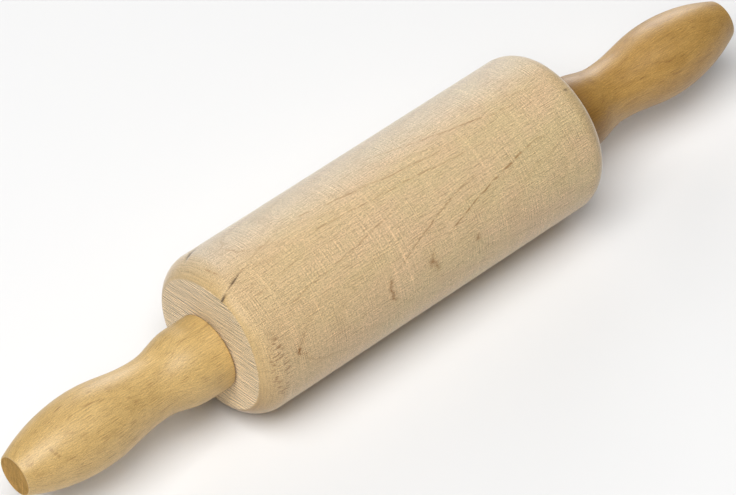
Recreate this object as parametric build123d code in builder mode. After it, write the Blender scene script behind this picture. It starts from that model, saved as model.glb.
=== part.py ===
from build123d import *
import os

# Rolling pin with two turned grips on a loose wooden axle and a barrel that spins round it.
# Millimetres, real size. X runs along the pin, Z is up.
# The origin lies on the worktop, under the middle of the barrel.

# Barrel
barrel_radius = 30.0
barrel_length = 156.0
# Its rounded ends: how far each reaches along the barrel, and how far it falls in
end_round_length = 9.0
end_round_depth = 4.3

# Axle, a plain dowel, and the radial play that lets the barrel turn on it
axle_radius = 7.0
bore_play = 2.4
# The axle sinks until it lies on the bottom of the bore, with this much left between them
seat_gap = 0.05
axle_end_chamfer = 1.0

# Grips, measured from the foot, the end that faces the barrel
grip_length = 82.5
foot_gap = 0.35
foot_radius = 14.0
foot_length = 9.5
foot_edge_round = 0.8
waist_place = 25.8
waist_radius = 11.25
bulge_place = 52.8
bulge_radius = 14.2
tip_radius = 7.5
tip_edge_round = 0.5
# How far the flow of the outline holds level beside the foot, the waist and the bulge
level_share = 0.4

# Blind socket in each grip for the glued end of the axle
socket_depth = 30.0
glue_gap = 0.1
socket_floor_gap = 0.5

barrel_half = barrel_length / 2
bore_radius = axle_radius + bore_play
barrel_axis_height = barrel_radius
axle_axis_height = barrel_axis_height - bore_play + seat_gap
foot_distance = barrel_half + foot_gap
axle_length = 2 * (foot_distance + socket_depth - socket_floor_gap)
socket_radius = axle_radius + glue_gap


def flowing_line(start, finish):
    """Smooth curve that is level, in line with the grip, at both of its ends."""
    level_run = level_share * (finish[0] - start[0])
    start_pull = (start[0] + level_run, start[1])
    finish_pull = (finish[0] - level_run, finish[1])
    return Bezier(start, start_pull, finish_pull, finish)


def make_grip(side):
    """Turned grip on one end of the axle. Side is 1 towards +X and -1 towards -X."""
    foot_centre = (side * foot_distance, 0, axle_axis_height)
    outward = Axis(foot_centre, (side, 0, 0))
    outline_plane = Plane(origin=foot_centre, x_dir=(side, 0, 0), z_dir=(0, -side, 0))
    foot_edge = (0, foot_radius)
    foot_end = (foot_length, foot_radius)
    waist = (waist_place, waist_radius)
    bulge = (bulge_place, bulge_radius)
    tip_edge = (grip_length, tip_radius)

    with BuildPart() as grip:
        with BuildSketch(outline_plane):
            with BuildLine():
                Line(foot_edge, foot_end)
                flowing_line(foot_end, waist)
                flowing_line(waist, bulge)
                TangentArc(bulge, tip_edge, tangent=(1, 0))
                Polyline(
                    tip_edge,
                    (grip_length, 0),
                    (socket_depth, 0),
                    (socket_depth, socket_radius),
                    (0, socket_radius),
                    foot_edge,
                )
            make_face()
        revolve(axis=outward)
        foot_face = grip.faces().sort_by(outward)[0]
        fillet(foot_face.outer_wire().edges(), radius=foot_edge_round)
        tip_face = grip.faces().sort_by(outward)[-1]
        fillet(tip_face.edges(), radius=tip_edge_round)
    return grip


# Barrel: turned from one solid piece, with a bore right through it
barrel_axis = Axis((0, 0, barrel_axis_height), (1, 0, 0))
barrel_outline_plane = Plane(
    origin=(0, 0, barrel_axis_height), x_dir=(1, 0, 0), z_dir=(0, -1, 0)
)
rim_radius = barrel_radius - end_round_depth
straight_end = (barrel_half - end_round_length, barrel_radius)
rim_edge = (barrel_half, rim_radius)

with BuildPart() as barrel:
    with BuildSketch(barrel_outline_plane):
        with BuildLine():
            Line((0, barrel_radius), straight_end)
            TangentArc(straight_end, rim_edge, tangent=(1, 0))
            Polyline(rim_edge, (barrel_half, bore_radius), (0, bore_radius))
            mirror(about=Plane.YZ)
        make_face()
    revolve(axis=barrel_axis)

# Axle: a dowel that runs through the barrel into both grips
axle_start_plane = Plane(
    origin=(-axle_length / 2, 0, axle_axis_height), x_dir=(0, 1, 0), z_dir=(1, 0, 0)
)

with BuildPart() as axle:
    with BuildSketch(axle_start_plane):
        Circle(axle_radius)
    extrude(amount=axle_length)
    chamfer(axle.edges().filter_by(GeomType.CIRCLE), length=axle_end_chamfer)

# Grips: the same turning on both ends of the axle
left_grip = make_grip(-1)
right_grip = make_grip(1)

barrel.part.label = "barrel"
axle.part.label = "axle"
left_grip.part.label = "left_grip"
right_grip.part.label = "right_grip"

os.makedirs("parts", exist_ok=True)
export_step(barrel.part, "parts/barrel.step")
export_step(axle.part, "parts/axle.step")
export_step(left_grip.part, "parts/left_grip.step")
export_step(right_grip.part, "parts/right_grip.step")
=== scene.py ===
import math
from collections import namedtuple

import bpy
import numpy as np
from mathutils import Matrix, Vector


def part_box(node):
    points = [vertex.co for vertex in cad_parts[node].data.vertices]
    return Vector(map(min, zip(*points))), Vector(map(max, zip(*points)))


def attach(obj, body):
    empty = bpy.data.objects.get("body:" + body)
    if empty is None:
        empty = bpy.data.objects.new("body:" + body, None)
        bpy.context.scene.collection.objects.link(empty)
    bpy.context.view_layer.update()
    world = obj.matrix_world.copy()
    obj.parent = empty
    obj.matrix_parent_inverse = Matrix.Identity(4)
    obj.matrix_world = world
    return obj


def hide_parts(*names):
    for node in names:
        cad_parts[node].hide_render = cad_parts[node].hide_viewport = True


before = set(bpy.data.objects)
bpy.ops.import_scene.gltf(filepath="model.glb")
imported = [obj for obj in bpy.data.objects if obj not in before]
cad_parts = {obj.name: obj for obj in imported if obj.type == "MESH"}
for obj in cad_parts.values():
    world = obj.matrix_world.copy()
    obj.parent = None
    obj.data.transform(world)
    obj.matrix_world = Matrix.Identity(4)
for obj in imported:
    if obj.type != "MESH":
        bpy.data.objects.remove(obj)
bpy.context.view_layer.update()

# The look of a wooden rolling pin: a bare beech barrel that spins on a dowel between two lacquered grips.
# Sizes are in millimetres along the same axes as the solids, and meshes become metres when they are made.
# Round the pin, an angle is 0 at the top and grows towards -Y, the side that the camera sees.

# A metre in these millimetres, and a millimetre in Blender's metres
metre = 1000
millimetre = 0.001


def millimetres(corner):
    """A corner of a node's box, from metres to millimetres."""
    return [metre * value for value in corner]


# Places and sizes that come from the solids
barrel_low, barrel_high = map(millimetres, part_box("barrel"))
axle_low, axle_high = map(millimetres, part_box("axle"))
left_low, left_high = map(millimetres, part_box("left_grip"))
right_low, right_high = map(millimetres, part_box("right_grip"))

barrel_half = barrel_high[0]
barrel_radius = (barrel_high[2] - barrel_low[2]) / 2
barrel_height = (barrel_high[2] + barrel_low[2]) / 2
axle_radius = (axle_high[2] - axle_low[2]) / 2
grip_height = (left_high[2] + left_low[2]) / 2
foot_distance = right_low[0]
grip_length = right_high[0] - right_low[0]
bulge_radius = (right_high[2] - right_low[2]) / 2

# Length of one degree round the barrel's surface
degree = math.pi / 180 * barrel_radius


class Number:
    """A value worked out by a material's nodes, which takes part in plain arithmetic."""

    def __init__(self, graph, socket):
        self.graph = graph
        self.socket = socket

    def __add__(self, other):
        return self.graph.math("ADD", self, other)

    __radd__ = __add__

    def __sub__(self, other):
        return self.graph.math("SUBTRACT", self, other)

    def __rsub__(self, other):
        return self.graph.math("SUBTRACT", other, self)

    def __mul__(self, other):
        return self.graph.math("MULTIPLY", self, other)

    __rmul__ = __mul__

    def __truediv__(self, other):
        return self.graph.math("DIVIDE", self, other)


# A point of a wooden piece: its place along the pin, across it and above its axis, its distance from the
# axis, and its angle round it
Spot = namedtuple("Spot", "along across above radius angle")


# Places of the share, the first colour and the second colour among a colour Mix node's inputs, and of its
# result among its outputs
mix_inputs = (0, 6, 7)
mix_result = 2


class Graph:
    """The nodes of one material, with short calls for the kinds that wood needs."""

    def __init__(self, name):
        self.material = bpy.data.materials.new(name)
        self.material.use_nodes = True
        self.nodes = self.material.node_tree.nodes
        self.links = self.material.node_tree.links
        self.nodes.clear()

    def feed(self, socket, value):
        """Link a computed value to a socket, or set a constant one on it."""
        if isinstance(value, Number):
            self.links.new(value.socket, socket)
        else:
            socket.default_value = value

    def node(self, kind, inputs, **settings):
        """A shader node of one kind, with its settings and what its inputs are fed."""
        made = self.nodes.new("ShaderNode" + kind)
        for name, value in settings.items():
            setattr(made, name, value)
        for name, value in inputs.items():
            self.feed(made.inputs[name], value)
        return made

    def out(self, node, name):
        """One output of a node, as a value."""
        return Number(self, node.outputs[name])

    def math(self, operation, *values):
        """The result of one operation on values or plain numbers."""
        made = self.nodes.new("ShaderNodeMath")
        made.operation = operation
        for socket, value in zip(made.inputs, values):
            self.feed(socket, value)
        return Number(self, made.outputs[0])

    def vector(self, x, y, z):
        """A vector from three values or plain numbers."""
        return self.out(self.node("CombineXYZ", {"X": x, "Y": y, "Z": z}), "Vector")

    def attribute(self, name):
        """A named value that the mesh keeps at its points."""
        return self.out(self.node("Attribute", {}, attribute_name=name), "Fac")

    def step(self, value, start, end):
        """Rises smoothly from 0 at start to 1 at end, or falls where end is the smaller."""
        inputs = {"Value": value, "From Min": start, "From Max": end}
        made = self.node("MapRange", inputs, interpolation_type="SMOOTHSTEP")
        return self.out(made, "Result")

    def noise(self, x, y, z, detail=2.0, roughness=0.5):
        """Soft noise about 0, within -1 and 1, one unit to a bump."""
        place = self.vector(x, y, z)
        inputs = {"Vector": place, "Scale": 1.0, "Detail": detail, "Roughness": roughness}
        return self.out(self.node("TexNoise", inputs), "Fac") * 2 - 1

    def grain(self, spot, size, detail=2.0, roughness=0.5):
        """Noise in a wooden piece, with the size of its bumps along the grain and across it."""
        along_size, across_size = size
        across, above = spot.across / across_size, spot.above / across_size
        return self.noise(spot.along / along_size, across, above, detail, roughness)

    def layers(self, spot, layers):
        """Sum of noise layers.

        Each has its size along the grain and across it, its detail, its roughness and its strength.
        """
        return sum(
            self.grain(spot, (along_size, across_size), detail, roughness) * strength
            for along_size, across_size, detail, roughness, strength in layers
        )

    def cells(self, x, y):
        """Scattered cells, about one unit apart.

        Gives how far the nearest centre is, and two random numbers that belong to it.
        """
        inputs = {"Vector": self.vector(x, y, 0.0), "Scale": 1.0}
        made = self.node("TexVoronoi", inputs, voronoi_dimensions="2D")
        chance = self.node("SeparateColor", {"Color": self.out(made, "Color")})
        return self.out(made, "Distance"), self.out(chance, "Red"), self.out(chance, "Green")

    def blend(self, share, first, second):
        """Colour that goes from the first to the second as the share goes from 0 to 1."""
        made = self.nodes.new("ShaderNodeMix")
        made.data_type = "RGBA"
        for place, value in zip(mix_inputs, (share, first, second)):
            self.feed(made.inputs[place], value)
        return Number(self, made.outputs[mix_result])

    def shade(self, colour, strength):
        """The colour made lighter or darker by a factor near 1."""
        made = self.nodes.new("ShaderNodeVectorMath")
        made.operation = "SCALE"
        self.feed(made.inputs["Vector"], colour if isinstance(colour, Number) else colour[:3])
        self.feed(made.inputs["Scale"], strength)
        return Number(self, made.outputs["Vector"])

    def finish(self, colour, height, **surface):
        """Principled surface with a relief in millimetres.

        The other settings go to the shader's own sockets, as constants or as values that vary over it.
        """
        bump = self.node("Bump", {"Height": height, "Distance": millimetre, "Strength": 1.0})
        shader = self.node("BsdfPrincipled", {"Base Color": colour, "Normal": self.out(bump, "Normal")})
        for name, value in surface.items():
            self.feed(shader.inputs[name.replace("_", " ")], value)
        output = self.nodes.new("ShaderNodeOutputMaterial")
        self.links.new(shader.outputs["BSDF"], output.inputs["Surface"])
        return self.material


def paint(red, green, blue):
    """Linear colour from the 0 to 255 values that a screen shows, by the curve of sRGB."""
    def linear(value):
        value = value / 255
        return value / 12.92 if value <= 0.04045 else ((value + 0.055) / 1.055) ** 2.4
    return (linear(red), linear(green), linear(blue), 1.0)


def crisp_streaks(graph, spot, layers, turn):
    """Streaks as the change of their noise over a short turn round the axis, in radians.

    A change has no wide blotches in it, which plain noise has.
    """
    across = spot.across + spot.above * turn
    above = spot.above - spot.across * turn
    beside = spot._replace(across=across, above=above)
    return graph.layers(spot, layers) - graph.layers(beside, layers)


def around(graph, axis_height):
    """The point that is being shaded, measured from a turned piece's axis."""
    place = graph.out(graph.node("TexCoord", {}), "Object")
    split = graph.node("SeparateXYZ", {"Vector": place})
    along = graph.out(split, "X") * metre
    across = graph.out(split, "Y") * -metre
    above = graph.out(split, "Z") * metre - axis_height
    radius = graph.math("SQRT", across * across + above * above)
    angle = graph.math("ARCTAN2", across, above) * (180 / math.pi)
    return Spot(along, across, above, radius, angle)


# Growth rings in the barrel: ridges round it, where the rings reach the surface as nested arcs.
# Each ring's edge leans further along the barrel as it leaves its ridge.
ridge_angle = 72.0
ridge_every = 90.0
ring_apart = 20.0
ring_start = -3.0
ring_taper = 0.09
near_lean = 27.0
far_lean = 35.0

# How far the rings wander on a ridge, how much more away from it, and how far they tremble
ridge_wander = 3
added_wander = 17
ring_tremble = 3.0

# A ring's edge, in shares of the distance between rings: how ragged it is, and where its thin line, its
# soft line and the haze that leads up to it start and where they are full
raggedness = 0.055
thin_edge = (0.045, 0.01)
soft_edge = (0.14, 0.0)
haze_edge = (0.45, 1.0)

# Strengths of the two lines, at the faint stretches of an edge and at its dark places, and of the haze
thin_faint = 0.25
thin_dark = 0.50
soft_faint = 0.12
soft_dark = 0.24
haze_strength = 0.07

# Length of an edge's faint stretches, and how far apart the rings read the noise that gives them
stretch_length = 12
stretch_apart = 7.7

# Where the rings' edges are darkest: place along the barrel, angle, half length and half height
dark_edges = (
    (-63.0, 72.0, 2.0, 1.6), (-21.5, 73.0, 5.0, 5.5), (-1.5, 71.5, 4.5, 4.5), (17.0, 73.5, 2.2, 1.8),
    (27.0, 71.0, 2.5, 2.0), (64.4, 71.4, 2.2, 2.0), (66.0, -19.7, 4.0, 4.0), (-72.0, -8.0, 4.0, 4.0),
)

# Long thin lines along the grain: where each starts and at which angle, the degrees that it turns in each
# millimetre, how that changes, its length and its strength
grain_courses = (
    (5.0, 61.0, -0.78, 0.0064, 58.0, 1.0),
    (-17.5, 62.6, -1.03, 0.0095, 48.0, 0.8),
    (-38.0, -7.5, 0.40, -0.0016, 72.0, 0.65),
    (-38.0, 9.0, 0.16, 0.0, 84.0, 0.55),
    (-61.0, 41.0, -0.19, -0.0015, 68.0, 0.45),
    (-70.0, 26.0, -0.27, 0.0, 30.0, 0.4),
    (-1.7, -18.6, 0.75, -0.0041, 70.0, 0.5),
    (-50.0, 78.0, -0.12, 0.0, 26.0, 0.35),
    (-76.0, 12.7, -0.74, 0.0047, 40.0, 0.35),
)
grain_line_strength = 0.74

# The lines are drawn once for the angles between these two, and again for the other side of the barrel
lines_end_angle = 120.0
lines_start_angle = -60.0

# The two parts of the crack that starts at the near rim, described in the same way, the strength that they
# share, and how far its fraying changes that
crack_courses = ((-80.5, 16.3, -0.79, 0.0047, 5.2), (-76.0, 12.7, -0.74, 0.0047, 11.5))
crack_strength = 0.45
crack_fray = 0.8

# A line's half width, the share of it that is full, the length over which it fades in, and the share of its
# length after which it fades out
line_half_width = 0.45
line_full_share = 0.2
line_fade_in = 3.0
line_fade_out_share = 0.6

# Degrees that the lines wobble by, and the crack's share of that
line_wobble = 2.2
crack_wobble_share = 0.4

# Paler bands that sanding left round the barrel: place and half width
pale_bands = (
    (-63.0, 1.2), (-50.8, 0.8), (-41.7, 0.9), (-36.5, 0.8), (-23.0, 1.2), (-19.0, 0.8), (-13.3, 1.0),
    (8.3, 1.5), (30.0, 0.9), (36.7, 0.9), (46.7, 0.9), (51.0, 0.8), (60.8, 1.0),
)
band_strength = 0.07
band_line_strength = 0.40

# Ray flecks: length and width of their cells, and the chance above which a cell has one
short_fleck = (5.0, 0.75, 0.55)
long_fleck = (11.0, 0.95, 0.70)
short_fleck_share = 0.5
long_fleck_share = 0.6
fleck_strength = 0.42

# A patch at the near end that is thick with flecks: place along the barrel, angle, half length and half
# height
flecked_patch = (-71.0, 76.0, 4.5, 17.0)
cluster_strength = 1.6

# Noise layers of bare beech: size along the grain and across it, detail, roughness and strength
cloud_layers = ((45, 20, 3, 0.5, 0.04), (11, 5, 2, 0.5, 0.01))
streak_layers = ((24, 1.5, 3, 0.65, 0.02), (5.0, 0.32, 2, 0.6, 0.37))
hoop_layers = ((0.36, 10, 1, 0.5, 0.46),)
grit_layers = ((0.36, 0.30, 0, 0.5, 0.58),)
hue_layers = ((34, 13, 2, 0.5, 0.8), (10, 5, 2, 0.5, 0.45), (2.4, 1.6, 2, 0.5, 0.10))

# How far on the noise of the streaks is taken a second time, in radians round the axis, and that of the
# hoops, along it
streak_turn = 0.010
hoop_shift = 0.36

# Single noises in the barrel's wood: size along the grain and across it, detail and roughness
wander_noise = ((38, 19), 2.0, 0.5)
tremble_noise = ((7, 3), 3.0, 0.5)
ragged_noise = ((3.5, 0.9), 3.0, 0.7)
edge_dash_noise = ((2.2, 0.8), 2.0, 0.6)
line_dash_noise = ((2.6, 0.9), 2.0, 0.6)
line_wobble_noise = ((9, 6), 3.0, 0.5)
hoop_patch_noise = ((12, 9), 2.0, 0.5)
worn_noise = ((30, 14), 2.0, 0.5)
band_line_noise = ((0.35, 30), 1.0, 0.5)
cluster_noise = ((3.0, 0.8), 1.0, 0.5)
fray_noise = ((0.9, 0.9), 2.0, 0.7)

# Sawn end grain: how far its saw lines lean from level in degrees, length and spacing of the long ones and
# of the finer ones, size of the torn fuzz and of the clouds along the lines and across them, and the heights
# between which the face gets darker towards its top
saw_tilt = 9.0
long_saw_line = (26, 0.42)
fine_saw_line = (5, 0.33)
fuzz_size = (0.45, 0.42)
sawn_cloud_size = (9, 9)
dark_face_heights = (9.0, 26.0)

# Strengths of the sawn face's tones, in the same order after that of the mesh's own saw marks
saw_mark_strength = 0.08
long_line_strength = 0.95
fine_line_strength = 0.85
fuzz_strength = 0.75
sawn_cloud_strength = 0.14
dark_face_strength = 0.10

# The edge between the barrel's side and its sawn faces: how far it frays, and where the face starts and is
# full
edge_fray = 0.5
face_edge = (0.25, 0.75)

# The share of the grain that the smoother roundings lose
rounding_smoothness = 0.5

# Relief of the grain and of the sawn face, in millimetres
grain_height = 0.06
sawn_height = 0.05

beech_yellow = paint(204, 181, 136)
beech_pink = paint(209, 179, 140)
# Pale colour of a painted sheen: the whitish grazing reflection on the barrel's upper back side, painted
# into the wood
painted_sheen_pale = paint(200, 187, 165)
near_orange = paint(205, 175, 130)
round_honey = paint(200, 169, 115)
# The roundings' brown is painted shade that darkens their lower part
round_shade_brown = paint(142, 106, 50)
face_pale = paint(219, 195, 156)
fleck_brown = paint(132, 90, 48)
ring_brown = paint(140, 94, 42)
crack_brown = paint(86, 62, 34)
# Inside the dents: dark broken wood, with painted shade of their hollows in it
dent_dark_wood_and_shade = paint(62, 46, 30)

# Where the barrel's tones start and where they are full: the orange one along the barrel, the brown one
# above its axis, which is painted shade that darkens the roundings towards the bottom, and the pale one
# where it begins and where it ends round the barrel, which is a painted sheen on its upper back side
orange_places = (0.0, -80.0)
round_shade_heights = (8.0, -22.0)
painted_sheen_start_angles = (12.0, -30.0)
painted_sheen_end_angles = (-110.0, -60.0)
orange_share = 0.7
painted_sheen_share = 0.65
round_share = 0.85

# Darker streaks are browner too: the tones where that starts and where it is full, and its share
brown_streaks = (0.0, -0.24)
brown_streak_share = 0.20


def ring_field(graph, spot):
    """Which growth ring a point lies in, as a number that passes a whole one at each ring's dark edge.

    Also how far the point is from a ridge: 0 on it, and 1 midway between two.
    """
    midway = ridge_every / 2
    half_turn = graph.math("PINGPONG", spot.angle - ridge_angle, midway) * (math.pi / midway)
    rise = (1 - graph.math("COSINE", half_turn)) * 0.5
    lean = rise * near_lean + rise * rise * rise * far_lean
    wander = graph.grain(spot, *wander_noise) * (rise * added_wander + ridge_wander)
    tremble = graph.grain(spot, *tremble_noise) * ring_tremble
    inward = (spot.radius - barrel_radius) / ring_taper
    return (spot.along + inward - lean + wander + tremble - ring_start) / ring_apart, rise


def ring_edges(graph, spot):
    """Soft brown edges of the rings: faint, broken, weaker away from ridges, and dark in a few places."""
    field, rise = ring_field(graph, spot)
    ragged = field + graph.grain(spot, *ragged_noise) * raggedness
    ring = graph.math("FLOOR", ragged + 0.5)
    gap = graph.math("ABSOLUTE", ragged - ring)
    stretch = graph.noise(spot.along / stretch_length, ring * stretch_apart, 0.4)
    dashes = graph.step(graph.grain(spot, *edge_dash_noise), -0.3, 0.15)
    faint = graph.step(stretch, -0.1, 0.4) * dashes * graph.step(rise, 0.9, 0.3)
    dark = graph.attribute("dark_edge")
    thin = graph.step(gap, *thin_edge) * (faint * thin_faint + dark * dashes * thin_dark)
    soft = graph.step(gap, *soft_edge) * (faint * soft_faint + dark * soft_dark)
    past_edge = field - graph.math("FLOOR", field)
    haze = graph.step(past_edge, *haze_edge) * graph.step(rise, 1.0, 0.4) * haze_strength
    return thin + soft + haze


def course_line(graph, along, angle, course):
    """A thin line along the grain that follows its course and fades out at both ends."""
    start, start_angle, turn, turn_change, length = course
    ahead = along - start
    middle = ahead * turn + ahead * ahead * turn_change + start_angle
    beside = graph.math("ABSOLUTE", angle - middle) * degree
    begin = graph.step(ahead, 0.0, line_fade_in)
    ends = begin * graph.step(ahead, length, length * line_fade_out_share)
    return graph.step(beside, line_half_width, line_half_width * line_full_share) * ends


def grain_lines(graph, spot, wobble):
    """Thin broken lines along the grain, which the front and the back of the barrel both have."""
    angle = graph.math("WRAP", spot.angle, lines_end_angle, lines_start_angle) + wobble
    dashes = graph.step(graph.grain(spot, *line_dash_noise), -0.2, 0.12) * 0.85 + 0.15
    total = 0
    for *course, strength in grain_courses:
        total = total + course_line(graph, spot.along, angle, course) * strength
    return total * dashes * grain_line_strength


def crack_lines(graph, spot, wobble):
    """The crack at the near end, which wobbles less than the lines."""
    angle = spot.angle + wobble * crack_wobble_share
    return sum(course_line(graph, spot.along, angle, course) for course in crack_courses)


def ray_flecks(graph, spot, length, width, threshold):
    """Ends of the wood's rays: short thin dashes along the grain, in cells of that length and width."""
    distance, chance, size = graph.cells(spot.along / length, spot.angle * (degree / width))
    fleck = graph.step(distance, 0.40, 0.12)
    return fleck * graph.step(chance, threshold, threshold + 0.3) * (size * 0.7 + 0.3)


def barrel_flecks(graph, spot):
    """Ray flecks of two sizes all over the barrel, and more of them in the flecked patch."""
    flecked = graph.attribute("flecked")
    short_ones = ray_flecks(graph, spot, *short_fleck) * short_fleck_share
    long_ones = ray_flecks(graph, spot, *long_fleck) * long_fleck_share
    cluster = graph.step(graph.grain(spot, *cluster_noise), 0.05, 0.35) * flecked * cluster_strength
    return graph.math("MAXIMUM", short_ones + cluster, long_ones)


def sanding_marks(graph, spot):
    """Paler bands with crisp thin lines in them, where sanding ran round the barrel."""
    worn = graph.step(graph.grain(spot, *worn_noise), -0.5, 0.5)
    crisp = graph.step(graph.grain(spot, *band_line_noise), 0.05, 0.4)
    return graph.attribute("sanded") * worn * (crisp * band_line_strength + band_strength)


def saw_lines(graph, level, crossing, size, layer):
    """Crisp lines of one length and spacing across a sawn face, from one layer of the noise."""
    length, spacing = size
    height, place = level / spacing, crossing / length
    return graph.noise(height, place, layer) - graph.noise(height + 1, place, layer)


def saw_directions(across, above):
    """How far points lie across the saw lines, and how far along them."""
    tilt = math.radians(saw_tilt)
    level = above * math.cos(tilt) - across * math.sin(tilt)
    crossing = above * math.sin(tilt) + across * math.cos(tilt)
    return level, crossing


def sawn_tone(graph, spot, saw):
    """How much lighter or darker the sawn end grain is: long saw lines, finer ones, and torn fuzz."""
    level, crossing = saw_directions(spot.across, spot.above)
    long_lines = saw_lines(graph, level, crossing, long_saw_line, 0.0)
    fine_lines = saw_lines(graph, level, crossing, fine_saw_line, 3.0)
    fuzz = graph.noise(level / fuzz_size[1], crossing / fuzz_size[0], 7.0)
    cloud = graph.noise(level / sawn_cloud_size[1], crossing / sawn_cloud_size[0], 5.0)
    upper = graph.step(level, *dark_face_heights)
    tone = saw * saw_mark_strength + long_lines * long_line_strength + fine_lines * fine_line_strength
    tone = tone + fuzz * fuzz_strength + cloud * sawn_cloud_strength
    return tone - upper * dark_face_strength


def barrel_hoops(graph, spot):
    """Fine lines round the barrel that come and go in patches, and its sanding marks."""
    patch = graph.step(graph.grain(spot, *hoop_patch_noise), -0.2, 0.6) * 0.75 + 0.25
    ahead = spot._replace(along=spot.along + hoop_shift)
    hoops = graph.layers(spot, hoop_layers) - graph.layers(ahead, hoop_layers)
    return hoops * patch + sanding_marks(graph, spot)


def barrel_tones(graph, spot, rounding):
    """Colour of the bare wood before its grain: yellow and pink, with its orange, pale and brown parts.

    The pale part is a painted sheen on the upper back side, and the brown one is painted shade on the
    roundings' lower part.
    """
    # Painted shade on the roundings: a share that grows from above the axis to below it, towards the brown
    low = graph.step(spot.above, *round_shade_heights)
    pink = graph.step(graph.layers(spot, hue_layers), -0.5, 0.5)
    wood = graph.blend(pink, beech_yellow, beech_pink)
    wood = graph.blend(graph.step(spot.along, *orange_places) * orange_share, wood, near_orange)
    # Painted sheen: the barrel's upper back side is made paler, standing in for the whitish grazing
    # reflection there
    painted_sheen_side = graph.step(spot.angle, *painted_sheen_start_angles) * graph.step(spot.angle, *painted_sheen_end_angles)
    wood = graph.blend(painted_sheen_side * painted_sheen_share, wood, painted_sheen_pale)
    return graph.blend(rounding * round_share, wood, graph.blend(low, round_honey, round_shade_brown))


def barrel_material():
    """Bare beech: rings, flecks, sanding marks, sawn end faces and the dark marks at the near end."""
    graph = Graph("bare_beech")
    spot = around(graph, barrel_height)
    rounding = graph.attribute("rounding")
    dent = graph.attribute("dent")
    saw = graph.attribute("saw")
    fray = graph.grain(spot, *fray_noise)
    face = graph.step(graph.attribute("end_face") + fray * edge_fray, *face_edge)
    side = 1 - face

    streaks = crisp_streaks(graph, spot, streak_layers, streak_turn)
    rough = streaks + barrel_hoops(graph, spot) + graph.layers(spot, grit_layers)
    rough = rough * (1 - rounding * rounding_smoothness)
    sawn = sawn_tone(graph, spot, saw)
    wood = graph.blend(face, barrel_tones(graph, spot, rounding), face_pale)
    wood = graph.shade(wood, 1 + graph.layers(spot, cloud_layers) + rough * side + sawn * face)
    wood = graph.blend(graph.step(streaks, *brown_streaks) * brown_streak_share * side, wood, fleck_brown)

    flecks = barrel_flecks(graph, spot)
    wobble = graph.grain(spot, *line_wobble_noise) * line_wobble
    lines = (grain_lines(graph, spot, wobble) + ring_edges(graph, spot)) * side
    crack = crack_lines(graph, spot, wobble) * side
    wood = graph.blend(flecks * fleck_strength * side, wood, fleck_brown)
    wood = graph.blend(lines, wood, ring_brown)
    wood = graph.blend(crack * (fray * crack_fray + crack_strength), wood, crack_brown)
    # The dents are darkened inside: dark broken wood, and painted shade in their hollows
    wood = graph.blend(dent, wood, dent_dark_wood_and_shade)
    height = rough * grain_height * side + sawn * face * sawn_height
    return graph.finish(
        wood, height, Roughness=0.55, Specular_IOR_Level=0.5, Sheen_Weight=0.5, Sheen_Roughness=0.3
    )


# Noise layers of the grips' lacquered beech
grip_cloud_layers = ((18, 8, 3, 0.5, 0.10), (5, 3, 2, 0.5, 0.07))
grip_streak_layers = ((14, 1.1, 3, 0.65, 0.16),)
grip_fibre_layers = ((4.5, 0.36, 2, 0.6, 0.34),)
grip_grit_layers = ((0.4, 0.34, 0, 0.5, 0.25),)
grip_fibre_turn = 0.026

# Growth rings that cross the grips: their slope in each direction, how far they bend and how far apart they
# are, with the noise that bends them and the one that breaks them
grip_ring_along_share = 0.02
grip_ring_across_share = 0.55
grip_ring_above_share = 0.84
grip_ring_bend = 3.2
grip_ring_apart = 2.6
grip_bend_noise = ((26, 12), 2.0, 0.5)
grip_broken_noise = ((9, 1.5), 3.0, 0.5)
grip_line_strength = 0.50

# Flecks of the grips and of the axle: length of their cells, and cells in each degree round the piece
grip_fleck_length = 6
grip_flecks_in_degree = 0.38
grip_fleck_strength = 0.45
axle_fleck_length = 3.2
axle_flecks_in_degree = 0.2
axle_fleck_strength = 0.5

# How far past a grip's foot its foot tone starts and where it is full. On the far grip that tone is partly
# painted shadow of the barrel
foot_colour_and_shadow_start = 24
foot_colour_and_shadow_full = 2

# The grips' tips: spacing and length of their upright saw lines, and width and height of their clouds
tip_line_spacing = 0.5
tip_line_length = 8
tip_cloud_width = 2
tip_cloud_height = 4

# Tones of each grip: pale wood, honey wood, the foot and the tip's end grain. The far grip's tones are
# darker, mostly its own deeper amber with some painted shade, and its dark foot tone is partly painted
# shadow of the barrel
near_grip_tones = (paint(203, 170, 110), paint(193, 158, 96), paint(196, 163, 102), paint(174, 136, 76))
far_grip_tones = (paint(182, 143, 78), paint(169, 128, 62), paint(122, 84, 22), paint(140, 104, 50))
grip_line_brown = paint(122, 80, 36)
grip_fleck_brown = paint(116, 74, 32)

# The axle's wood and its noises: size along the grain and across it, detail and roughness
axle_beech = paint(202, 172, 128)
axle_fleck_brown = paint(128, 90, 54)
axle_streak_noise = ((18, 0.9), 3.0, 0.6)
axle_fibre_noise = ((4, 0.3), 2.0, 0.6)
axle_rubbed_noise = ((0.5, 8), 2.0, 0.6)


def grip_rings(graph, spot):
    """Growth rings that cross a grip, as soft broken lines."""
    bend = graph.grain(spot, *grip_bend_noise) * grip_ring_bend
    slope = spot.across * grip_ring_across_share + spot.above * grip_ring_above_share
    ring = (slope + bend + spot.along * grip_ring_along_share) / grip_ring_apart
    gap = graph.math("ABSOLUTE", ring - graph.math("FLOOR", ring + 0.5))
    broken = graph.grain(spot, *grip_broken_noise)
    return graph.step(gap, 0.16, 0.03) * graph.step(broken, -0.05, 0.5)


def tip_tone(graph, spot):
    """How much lighter or darker the sawn tip is: upright saw lines and clouds."""
    tip_lines = graph.noise(spot.above / tip_line_length, spot.across / tip_line_spacing, 0.0)
    tip_cloud = graph.noise(spot.above / tip_cloud_height, spot.across / tip_cloud_width, 4.0)
    return tip_lines * 0.5 + tip_cloud * 0.4


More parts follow.
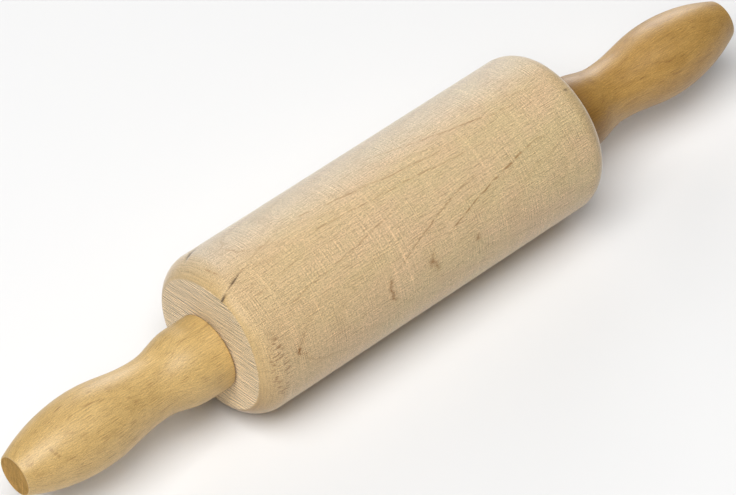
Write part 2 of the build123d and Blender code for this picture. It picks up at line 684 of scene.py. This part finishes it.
def grip_material(name, pale, honey, foot_colour_and_shadow, tip_brown):
    """Beech under clear satin lacquer: honey tones, brown streaks along the grain and a browner tip."""
    graph = Graph(name)
    spot = around(graph, grip_height)
    tip = graph.attribute("end_face")
    side = 1 - tip

    lines = grip_rings(graph, spot)
    cells = graph.cells(spot.along / grip_fleck_length, spot.angle * grip_flecks_in_degree)
    distance, chance, size = cells
    flecks = graph.step(distance, 0.38, 0.1) * graph.step(chance, 0.50, 0.95) * (size * 0.7 + 0.3)

    cloud = graph.layers(spot, grip_cloud_layers)
    fibres = crisp_streaks(graph, spot, grip_fibre_layers, grip_fibre_turn)
    streaks = graph.layers(spot, grip_streak_layers) + fibres
    grit = graph.layers(spot, grip_grit_layers)
    from_middle = graph.math("ABSOLUTE", spot.along)
    foot_colour_and_shadow_share = graph.step(from_middle, foot_distance + foot_colour_and_shadow_start, foot_distance + foot_colour_and_shadow_full)
    wood = graph.blend(graph.step(cloud, -0.1, 0.1), honey, pale)
    # Near the foot the wood takes the foot tone, which on the far grip is partly painted shadow of the
    # barrel
    wood = graph.blend(foot_colour_and_shadow_share, wood, foot_colour_and_shadow)
    wood = graph.blend(tip, wood, tip_brown)
    wood = graph.shade(wood, 1 + cloud + streaks * side + grit + tip_tone(graph, spot) * tip)
    wood = graph.blend(lines * grip_line_strength, wood, grip_line_brown)
    wood = graph.blend(flecks * grip_fleck_strength * side, wood, grip_fleck_brown)
    height = (streaks * 0.05 - flecks * 0.02) * side + grit * 0.05
    return graph.finish(
        wood, height, Roughness=tip * 0.35 + 0.5, Specular_IOR_Level=side * 0.4 + 0.1,
        Coat_Weight=side * 0.22, Coat_Roughness=0.3, Coat_IOR=1.5,
    )


def axle_material():
    """Bare beech dowel, rubbed by the bore and a little darker than the barrel."""
    graph = Graph("axle_beech")
    spot = around(graph, grip_height)
    streak = graph.grain(spot, *axle_streak_noise)
    fibre = graph.grain(spot, *axle_fibre_noise)
    rubbed = graph.grain(spot, *axle_rubbed_noise)
    cells = graph.cells(spot.along / axle_fleck_length, spot.angle * axle_flecks_in_degree)
    distance, chance, size = cells
    flecks = graph.step(distance, 0.3, 0.08) * graph.step(chance, 0.6, 0.9) * size
    wood = graph.shade(axle_beech, 1 + streak * 0.08 + fibre * 0.06 + rubbed * 0.05)
    wood = graph.blend(flecks * axle_fleck_strength, wood, axle_fleck_brown)
    height = fibre * 0.015 + rubbed * 0.02 - flecks * 0.02
    return graph.finish(wood, height, Roughness=0.55, Specular_IOR_Level=0.45)


def turning(along, radius, angles, axis_height, joined):
    """Points and faces of a closed turning, from rows of points round its axis.

    The last row joins the first where joined is true. Otherwise a flat face closes each end.
    """
    rows, columns = radius.shape
    points = np.stack([along, -radius * np.sin(angles), radius * np.cos(angles) + axis_height], axis=-1)
    column = np.arange(columns)
    following = (column + 1) % columns
    row = np.arange(rows if joined else rows - 1)[:, None] * columns
    next_row = (row + columns) % (rows * columns)
    faces = np.stack([row + column, row + following, next_row + following, next_row + column], axis=-1)
    faces = faces.reshape(-1, 4).tolist()
    if not joined:
        faces.append(column[::-1].tolist())
        faces.append((column + (rows - 1) * columns).tolist())
    return points.reshape(-1, 3) * millimetre, faces


def make_object(name, points, faces, values, material):
    """Object from points and faces, smooth all over, with its named values kept at each point."""
    mesh = bpy.data.meshes.new(name)
    mesh.from_pydata(points.tolist(), [], faces)
    mesh.validate()
    for value_name, value in values.items():
        attribute = mesh.attributes.new(value_name, "FLOAT", "POINT")
        attribute.data.foreach_set("value", value.astype(np.float32).ravel())
    mesh.shade_smooth()
    mesh.materials.append(material)
    made = bpy.data.objects.new(name, mesh)
    bpy.context.scene.collection.objects.link(made)
    return made


def smooth_step(value, start, end):
    """Rises smoothly from 0 at start to 1 at end, or falls where end is the smaller."""
    share = np.clip((value - start) / (end - start), 0, 1)
    return share * share * (3 - 2 * share)


def turned_from(angle, start):
    """Degrees from a start to an angle, between -180 and 180."""
    return (angle - start + 180) % 360 - 180


# Bore of the barrel
bore_play = 2.4
bore_radius = axle_radius + bore_play

# Rounding of the barrel's ends: how far the flat face's edge lies inside the barrel's side. At the near end
# that is less round one angle, the crest. At the far end the face is a little off centre.
near_crest_angle = 28.0
near_crest_width = 34.0
near_crest_rise = 3.3
near_round_depth = 5.3
far_round_depth = 4.7
far_round_shift = 0.5
far_round_angle = 200

# Length of a rounding: a share of its depth and a length that is always there
round_length_share = 1.6
round_length_least = 1.0

# The worn rim between rounding and flat face: how wide it is worn, how deep as a share of that, and how
# much sooner the wear ends along the barrel
rim_softness = 0.5
rim_wear_share = 0.35
rim_wear_slope = 1.2

# How far from the flat face's edge and from the bore the saw marks are full, and half the width over which
# the rounding's colour becomes the face's
edge_margin = 0.8
bore_margin = 0.5
face_blend = 0.7

# Saw marks on the end faces: depth and spacing
saw_depth = 0.08
saw_spacing = 1.6

# Shares of the saw's main waves, the finer ones and the wider ones, and how much finer and wider those are
main_wave_share = 0.45
finer_wave_share = 0.28
wider_wave_share = 0.27
finer_wave_ratio = 1.63
wider_wave_ratio = 2.9

# How far the saw marks wobble, over a long way and over a short one
long_wobble = 0.35
short_wobble = 0.2

# Shallow waves that turning and sanding left along the barrel: length of each and its share of the depth
turning_depth = 0.02
turning_waves = ((13.0, 0.4), (5.3, 0.35), (2.3, 0.25))

# Cracks and dents in the barrel: place along it, angle, degrees turned in each millimetre, length, width,
# depth, and distance from the axis
dents = (
    (-77.0, 13.8, -0.79, 3.4, 1.3, 0.9, 28.4),
    (-70.6, 8.8, -0.79, 5.0, 0.9, 0.6, 30.0),
    (-69.8, -40.0, -1.0, 7.5, 2.0, 0.5, 30.0),
    (73.9, 21.1, 0.0, 1.8, 0.9, 0.5, 29.0),
)

# How steep their sides are, and how far they reach towards the axis
dent_steepness = 1.6
dent_reach_inward = 1.8

# How many points go round the barrel's mesh and along its parts
barrel_columns = 384
side_rows = 150
round_rows = 18
face_rows = 34


def near_depth(angle_degrees):
    """How far the near face's edge lies inside the barrel's surface, round the face."""
    turn = turned_from(angle_degrees, near_crest_angle)
    return near_round_depth - near_crest_rise * np.exp(-((turn / near_crest_width) ** 2))


def far_depth(angle_degrees):
    """The same for the far face, which is only a little off centre."""
    return far_round_depth + far_round_shift * np.cos(np.radians(angle_degrees - far_round_angle))


def end_rows(depth, sign):
    """Rows from the straight side over the rounding and across the flat face to the bore, at one end.

    Each row holds its places, its radii and how far it has come over the rounding. The rounding's length
    comes with them. Adding 0 * depth gives a plain number one value for each point of the row.
    """
    length = depth * round_length_share + round_length_least
    bend = (length**2 + depth**2) / (2 * depth)
    sweep = np.arcsin(length / bend)
    rows = []
    for share in np.linspace(0, 1, round_rows)[1:]:
        turned = share * sweep
        place = barrel_half - length + bend * np.sin(turned)
        rows.append((sign * place, barrel_radius - bend * (1 - np.cos(turned)), share))
    rim = barrel_radius - depth
    for share in np.linspace(0, 1, face_rows)[1:]:
        rows.append((sign * barrel_half + 0 * depth, rim + share * (bore_radius - rim), 1.0))
    return rows, length


def barrel_rows(turn):
    """All rows of the barrel, from near bore to far bore: places, radii and shares of the rounding."""
    near_rows, near_length = end_rows(near_depth(turn), -1)
    far_rows, far_length = end_rows(far_depth(turn), 1)
    side = []
    for share in np.linspace(0, 1, side_rows):
        place = (near_length - barrel_half) * (1 - share) + (barrel_half - far_length) * share
        side.append((place, barrel_radius + 0 * turn, 0.0))
    rows = near_rows[::-1] + side + far_rows
    return [np.array([row[part] + 0 * turn for row in rows]) for part in range(3)]


def saw_marks(radius, angles):
    """Saw lines that run nearly level across a flat face, from -1 to 1."""
    level, crossing = saw_directions(radius * np.sin(angles), radius * np.cos(angles))
    wobble = long_wobble * np.sin(crossing / 5.3 + level / 7.1)
    wobble = wobble + short_wobble * np.sin(crossing / 2.1 + 1.7)
    cycle = 2 * math.pi / saw_spacing
    main = main_wave_share * np.sin(cycle * (level + wobble))
    finer = finer_wave_share * np.sin(cycle * (level * finer_wave_ratio + wobble) + 0.9)
    wider = wider_wave_share * np.sin(cycle * level / wider_wave_ratio + crossing / 6)
    return main + finer + wider


def patch_share(along, turn, patches):
    """How near each point is to the middle of one of the oval patches, from 0 to 1."""
    total = np.zeros_like(along)
    for place, angle, half_length, half_height in patches:
        ahead = (along - place) / half_length
        beside = turned_from(turn, angle) * degree / half_height
        total = np.maximum(total, smooth_step(ahead**2 + beside**2, 1.0, 0.2))
    return total


def band_share(along):
    """How near each point is to the middle of one of the pale bands, from 0 to 1."""
    return sum(smooth_step(np.abs(along - place), half_width, 0.0) for place, half_width in pale_bands)


def turning_relief(along):
    """Depth of the shallow waves along the barrel."""
    cycles = 2 * math.pi * along
    waves = sum(share * np.sin(cycles / length + length) for length, share in turning_waves)
    return turning_depth * (1 + waves)


def dent_relief(along, radius, turn):
    """Depth of the dents at each point, and how deep in a dent the point lies, from 0 to 1."""
    relief = np.zeros_like(along)
    mark = np.zeros_like(along)
    for place, angle, slant, length, width, depth, dent_radius in dents:
        ahead = along - place
        sideways = turned_from(turn - angle, slant * ahead) * degree
        inward = (radius - dent_radius) / dent_reach_inward
        far_off = (2 * ahead / length) ** 2 + (2 * sideways / width) ** 2 + inward**2
        dent = np.exp(-dent_steepness * far_off)
        relief = relief + depth * dent
        mark = np.maximum(mark, dent)
    return relief, mark


def barrel_piece():
    """The barrel, with soft rims, saw marks on its flat faces and the cracks at its near end."""
    turn = np.linspace(0, 360, barrel_columns, endpoint=False)
    angles = np.radians(turn)
    along, radius, rounding = barrel_rows(turn)
    outward = np.sign(along)
    rim = barrel_radius - np.where(along < 0, near_depth(turn), far_depth(turn))
    inside = rim - radius
    end_face = smooth_step(inside, -face_blend, face_blend)

    # The rim between rounding and flat face is worn soft
    rim_distance = np.abs(inside) + (barrel_half - np.abs(along)) * rim_wear_slope
    worn = rim_softness * rim_wear_share * np.exp(-((rim_distance / rim_softness) ** 2))

    beside_bore = smooth_step(radius, bore_radius, bore_radius + bore_margin)
    flat = smooth_step(inside, 0.0, edge_margin) * beside_bore
    saw = saw_marks(radius, angles) * flat
    relief, dent = dent_relief(along, radius, turn)
    radius = radius - relief - turning_relief(along) * (rounding == 0)
    along = along - outward * (worn + saw_depth * (flat + saw))

    # Two rows of points inside the bore join its ends
    bore = np.full((2, barrel_columns), bore_radius)
    bore_ends = np.array([[barrel_half / 2], [-barrel_half / 2]]) + 0 * bore
    values = {
        "rounding": rounding * (1 - end_face),
        "end_face": end_face,
        "dent": dent,
        "saw": saw,
        "dark_edge": patch_share(along, turn, dark_edges),
        "flecked": patch_share(along, turn, [flecked_patch]),
        "sanded": band_share(along),
    }
    values = {name: np.concatenate([value, 0 * bore]) for name, value in values.items()}
    along = np.concatenate([along, bore_ends])
    radius = np.concatenate([radius, bore])
    points, faces = turning(along, radius, angles, barrel_height, True)
    return make_object("barrel_wood", points, faces, values, barrel_material())


# Grip outline, measured from the foot
foot_radius = 14.0
foot_length = 9.5
foot_edge_round = 0.8
waist_place = 25.8
waist_radius = 11.25
bulge_place = 52.8
tip_radius = 7.5
tip_edge_round = 0.5
tip_hollow = 0.25
level_share = 0.4
glue_gap = 0.1
socket_radius = axle_radius + glue_gap
socket_depth = 30.0

# Saw marks of the tip as a share of its hollow, and radius of the tip's innermost points
tip_saw_share = 0.25
tip_centre_radius = 0.4

# Waves that hand sanding left on a grip: depth, and the distances from the foot and from the tip where they
# start and where they are full
grip_wave_depth = 0.05
waves_from_foot = (1.5, 6.0)
waves_from_tip = (0.5, 4.0)

# How many points go round a grip's mesh and along its parts
grip_columns = 200
socket_points = 12
foot_face_points = 14
corner_points = 8
foot_points = 20
waist_points = 40
bulge_points = 56
dome_points = 64
tip_points = 30


def straight(start, finish, count):
    """Points on a straight stretch of an outline, without its first point."""
    return np.linspace(start, finish, count + 1)[1:]


def flowing(start, finish, count):
    """Points of the flowing line between two level places of an outline, without its first point."""
    run = level_share * (finish[0] - start[0])
    pulls = np.array([start, (start[0] + run, start[1]), (finish[0] - run, finish[1]), finish], float)
    share = np.linspace(0, 1, count + 1)[1:, None]
    weights = ((1 - share) ** 3, 3 * share * (1 - share) ** 2, 3 * share**2 * (1 - share), share**3)
    return sum(weight * pull for weight, pull in zip(weights, pulls))


def arc(centre, radius, start, finish, count):
    """Points of an arc between two directions in degrees, without its first point.

    The direction 0 points along the grip, away from the barrel.
    """
    angle = np.radians(np.linspace(start, finish, count + 1)[1:])
    return np.stack([centre[0] + radius * np.cos(angle), centre[1] + radius * np.sin(angle)], axis=-1)


def grip_outline():
    """Distance from the foot and radius, from the socket round the foot, over waist and bulge to the tip.

    Also how many points come before the tip's flat face.
    """
    drop = bulge_radius - tip_radius
    reach = grip_length - bulge_place
    bend = (reach**2 + drop**2) / (2 * drop)
    bend_centre = (bulge_place, bulge_radius - bend)
    corner_place = grip_length - tip_edge_round
    corner_angle = math.degrees(math.acos((corner_place - bulge_place) / (bend - tip_edge_round)))
    corner_radius = bend_centre[1] + (bend - tip_edge_round) * math.sin(math.radians(corner_angle))
    foot_face_radius = foot_radius - foot_edge_round
    parts = (
        np.array([(socket_depth, socket_radius)]),
        straight((socket_depth, socket_radius), (0, socket_radius), socket_points),
        straight((0, socket_radius), (0, foot_face_radius), foot_face_points),
        arc((foot_edge_round, foot_face_radius), foot_edge_round, 180, 90, corner_points),
        straight((foot_edge_round, foot_radius), (foot_length, foot_radius), foot_points),
        flowing((foot_length, foot_radius), (waist_place, waist_radius), waist_points),
        flowing((waist_place, waist_radius), (bulge_place, bulge_radius), bulge_points),
        arc(bend_centre, bend, 90, corner_angle, dome_points),
        arc((corner_place, corner_radius), tip_edge_round, corner_angle, 0, corner_points),
        straight((grip_length, corner_radius), (grip_length, tip_centre_radius), tip_points),
    )
    return np.concatenate(parts), sum(len(part) for part in parts[:-1])


def grip_piece(name, side, material):
    """One lacquered grip, with a slightly uneven hand-sanded surface and a sawn, faintly hollow tip."""
    outline, face_start = grip_outline()
    turn = np.linspace(0, 2 * math.pi, grip_columns, endpoint=False)
    place = outline[:, :1] + 0 * turn
    radius = outline[:, 1:] + 0 * turn
    end_face = np.zeros_like(radius)
    end_face[face_start:] = 1.0
    hollow = 1 - (radius / tip_radius) ** 2
    place = place - end_face * tip_hollow * hollow * (1 + tip_saw_share * saw_marks(radius, turn))
    wave = np.sin(place / 9.0 + 2 * turn) * 0.5 + np.sin(place / 5.3 - 3 * turn + side) * 0.5
    free = smooth_step(place, *waves_from_foot) * smooth_step(grip_length - place, *waves_from_tip)
    radius = radius - grip_wave_depth * free * (1 + wave)
    along = side * (foot_distance + place)
    points, faces = turning(along, radius, turn, grip_height, False)
    if side < 0:
        # The grip on this side is a mirror image, so its faces are listed the other way round
        faces = [face[::-1] for face in faces]
    return make_object(name, points, faces, {"end_face": end_face}, material)


# The floor: colour, half its size in metres, bumps of its faint noise in a metre, and the strength of that
floor_pale = paint(235, 235, 235)
floor_half = 6.0
floor_noise_in_metre = 3
floor_noise_strength = 0.004

# Softboxes: name, turn from +X and rise above the floor in degrees, distance and size in metres, and power
softboxes = (
    ("key_light", 205, 62, 2.0, 1.5, 49.5),
    ("fill_light", 300, 62, 2.0, 1.2, 3.0),
    ("rim_light", 50, 12, 2.0, 1.0, 17.0),
    ("high_rim_light", 60, 35, 2.0, 0.9, 4.0),
)
surroundings_white = (1.0, 1.0, 1.0, 1.0)
surroundings_strength = 0.035


def add_floor():
    """Plain pale floor, far wider than the pin."""
    signs = ((-1, -1), (1, -1), (1, 1), (-1, 1))
    corners = [(x_sign * floor_half, y_sign * floor_half, 0) for x_sign, y_sign in signs]
    graph = Graph("pale_floor")
    place = graph.node("SeparateXYZ", {"Vector": graph.out(graph.node("TexCoord", {}), "Object")})
    x = graph.out(place, "X") * floor_noise_in_metre
    y = graph.out(place, "Y") * floor_noise_in_metre
    tone = 1 + graph.noise(x, y, 0.0) * floor_noise_strength
    colour = graph.shade(floor_pale, tone)
    material = graph.finish(colour, 0.0, Roughness=0.9, Specular_IOR_Level=0.1)
    floor = make_object("floor", np.array(corners), [[0, 1, 2, 3]], {}, material)


def add_softbox(name, turn, rise, distance, size, power):
    """Square area light that faces the middle of the pin."""
    turn, rise = math.radians(turn), math.radians(rise)
    direction = (math.cos(rise) * math.cos(turn), math.cos(rise) * math.sin(turn), math.sin(rise))
    light = bpy.data.lights.new(name, "AREA")
    light.shape = "SQUARE"
    light.size = size
    light.energy = power
    made = bpy.data.objects.new(name, light)
    towards = Vector(direction).normalized()
    made.location = Vector((0, 0, barrel_height * millimetre)) + towards * distance
    made.rotation_euler = towards.to_track_quat("Z", "Y").to_euler()
    bpy.context.scene.collection.objects.link(made)


def add_light():
    """Faint even surroundings and the softboxes: a large one from the left, and weaker ones opposite it."""
    world = bpy.data.worlds.new("studio")
    world.use_nodes = True
    background = world.node_tree.nodes["Background"]
    background.inputs["Color"].default_value = surroundings_white
    background.inputs["Strength"].default_value = surroundings_strength
    bpy.context.scene.world = world
    for softbox in softboxes:
        add_softbox(*softbox)


def add_camera():
    """Camera at the photo's angle, with the long lens that its slight perspective asks for."""
    azimuth = math.radians(-41.75)
    elevation = math.radians(46.52)
    distance = 1.49764
    pin_right_of_centre = 0.00559
    pin_above_centre = 0.00523
    back = Vector((
        math.sin(azimuth) * math.cos(elevation),
        -math.cos(azimuth) * math.cos(elevation),
        math.sin(elevation),
    ))
    right = Vector((math.cos(azimuth), math.sin(azimuth), 0))
    up = back.cross(right)
    data = bpy.data.cameras.new("camera")
    data.sensor_width = 36.0
    data.lens = 215.2
    camera = bpy.data.objects.new("camera", data)
    middle = Vector((0, 0, barrel_height * millimetre))
    camera.location = middle + back * distance - right * pin_right_of_centre - up * pin_above_centre
    camera.rotation_euler = back.to_track_quat("Z", "Y").to_euler()
    bpy.context.scene.collection.objects.link(camera)
    bpy.context.scene.camera = camera


barrel = barrel_piece()
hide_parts("barrel")
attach(barrel, "barrel")

near_lacquer = grip_material("near_lacquered_beech", *near_grip_tones)
far_lacquer = grip_material("far_lacquered_beech", *far_grip_tones)
for node_name, side, lacquer in (("left_grip", -1, near_lacquer), ("right_grip", 1, far_lacquer)):
    grip = grip_piece(node_name + "_wood", side, lacquer)
    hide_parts(node_name)
    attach(grip, "grips")

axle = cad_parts["axle"]
axle.data.materials.clear()
axle.data.materials.append(axle_material())

add_floor()
add_light()
add_camera()
bpy.context.scene.view_settings.view_transform = "Standard"
